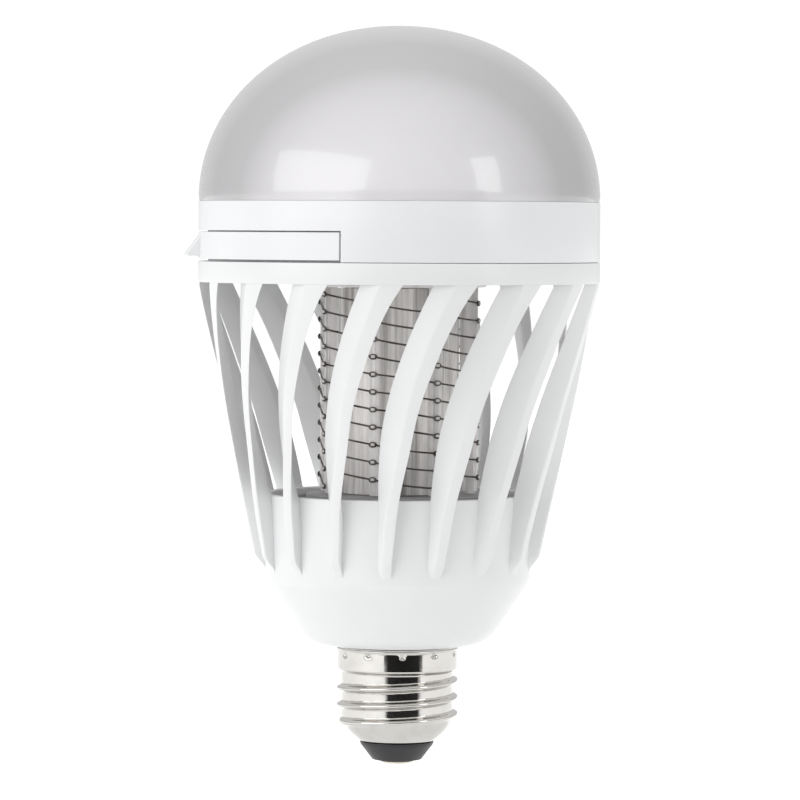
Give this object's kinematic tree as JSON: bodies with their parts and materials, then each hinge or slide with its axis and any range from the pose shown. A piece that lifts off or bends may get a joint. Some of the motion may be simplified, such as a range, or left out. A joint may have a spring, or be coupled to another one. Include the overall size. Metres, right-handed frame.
{
  "type": "screw-in bug zapper lamp",
  "caption": "Bulb-shaped electric insect zapper: milky light dome, white collar with a stowed cleaning brush, swept-fin cage around a wire grid, and a screw cap.",
  "frame": {"origin": "centre of the flat bottom face of the screw cap's centre contact, on the lamp's axis", "axes": "+Z along the lamp's axis from the screw cap to the dome, -Y the front that the picture shows, -X the side where the brush's finger lip is"},
  "size_m": [0.0894, 0.0864, 0.1588],
  "materials": {
    "cage_plastic": "white ABS, satin gloss",
    "collar_plastic": "white ABS, satin gloss",
    "dome_plastic": "milky polycarbonate, glossy",
    "cap_nickel": "nickel-plated, polished",
    "black_insulator": "black glass, glossy",
    "contact_brass": "tinned",
    "screw_steel": "zinc-plated",
    "aluminium": "pressed sheet",
    "white_board": "white solder resist",
    "green_board": "green solder resist",
    "grey_plastic": "grey ABS",
    "clear_plastic": "clear polycarbonate",
    "wire_steel": "drawn stainless wire",
    "ferrite": "sintered, matt",
    "black_sleeve": "shrink sleeve",
    "film_case": "dipped epoxy",
    "copper": "enamelled copper winding",
    "resistor_ceramic": "cement",
    "red_insulation": "silicone insulation",
    "black_insulation": "silicone insulation",
    "white_insulation": "silicone insulation",
    "bristle_nylon": "nylon bristles"
  },
  "bodies": {
    "lamp": {"cage_ring": "cage_plastic", "cage_fin_1": "cage_plastic", "cage_fin_2": "cage_plastic", "cage_fin_3": "cage_plastic", "cage_fin_4": "cage_plastic", "cage_fin_5": "cage_plastic", "cage_fin_6": "cage_plastic", "cage_fin_7": "cage_plastic", "cage_fin_8": "cage_plastic", "cage_fin_9": "cage_plastic", "cage_fin_10": "cage_plastic", "cage_fin_11": "cage_plastic", "cage_fin_12": "cage_plastic", "cage_fin_13": "cage_plastic", "cage_fin_14": "cage_plastic", "cage_fin_15": "cage_plastic", "cage_fin_16": "cage_plastic", "cage_fin_17": "cage_plastic", "cage_cup": "cage_plastic", "screw_shell": "cap_nickel", "contact_insulator": "black_insulator", "centre_contact": "contact_brass", "head_collar": "collar_plastic", "head_floor": "collar_plastic", "floor_screw_1": "screw_steel", "floor_screw_2": "screw_steel", "floor_screw_3": "screw_steel", "heat_sink": "aluminium", "led_plate": "white_board", "plate_screw_1": "screw_steel", "plate_screw_2": "screw_steel", "diffuser_dome": "dome_plastic", "grid_base": "grey_plastic", "grid_frame": "clear_plastic", "grid_wire_1": "wire_steel", "grid_wire_2": "wire_steel", "grid_wire_3": "wire_steel", "grid_wire_4": "wire_steel", "light_tube": "clear_plastic", "uv_board": "white_board", "driver_board": "green_board", "transformer": "ferrite", "smoothing_capacitor": "black_sleeve", "film_capacitor": "film_case", "choke_coil": "copper", "bridge_rectifier": "black_sleeve", "fuse_resistor": "resistor_ceramic", "led_lead_plus": "red_insulation", "led_lead_minus": "black_insulation", "grid_lead_1": "white_insulation", "grid_lead_2": "white_insulation", "contact_lead": "black_insulation", "shell_lead": "white_insulation"},
    "brush": {"brush_handle": "collar_plastic", "brush_bristles": "bristle_nylon"}
  },
  "joints": [
    {"name": "brush_pull", "type": "slide", "parent": "lamp", "child": "brush", "axis": [-1, 0, 0], "range_m": [0, 0.036]}
  ]
}
